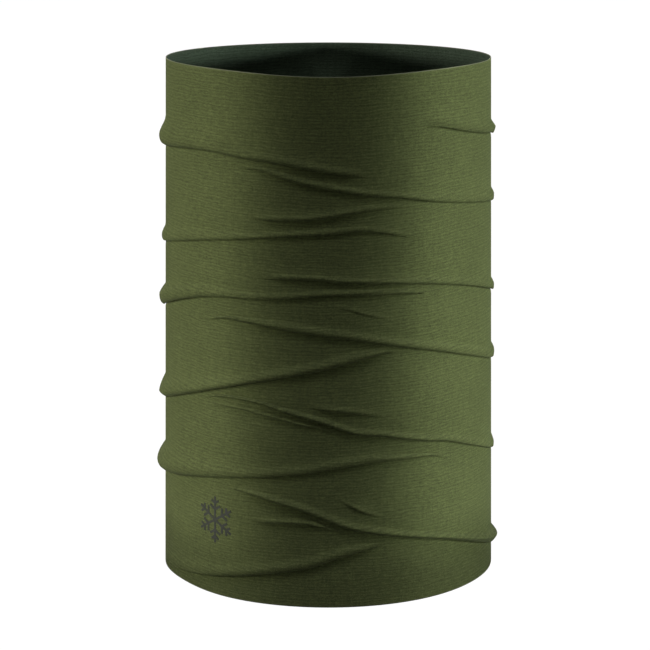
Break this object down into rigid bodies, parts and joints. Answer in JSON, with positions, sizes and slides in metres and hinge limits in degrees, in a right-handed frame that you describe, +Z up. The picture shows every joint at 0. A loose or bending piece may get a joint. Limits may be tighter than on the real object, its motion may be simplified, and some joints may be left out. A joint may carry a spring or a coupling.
{
  "type": "neck gaiter",
  "caption": "Seamless knitted tube neck gaiter standing upright, pushed down into soft slanting tucks, with raw cut edges and a small film mark low on the front.",
  "frame": {"origin": "centre of the lower opening, in the plane of the lower raw edge that the tube stands on", "axes": "+Z up along the tube, -Y the front, +X to the right seen from the front"},
  "size_m": [0.1649, 0.1606, 0.2448],
  "materials": {
    "knit": "fine matt circular knit, olive green",
    "mark_film": "thin matt heat-transfer film, green black",
    "care_film": "thin satin heat-transfer film, pale grey"
  },
  "bodies": {
    "root": {"knit_tube": "knit", "transfer_mark": "mark_film", "care_transfer": "care_film"}
  },
  "joints": []
}
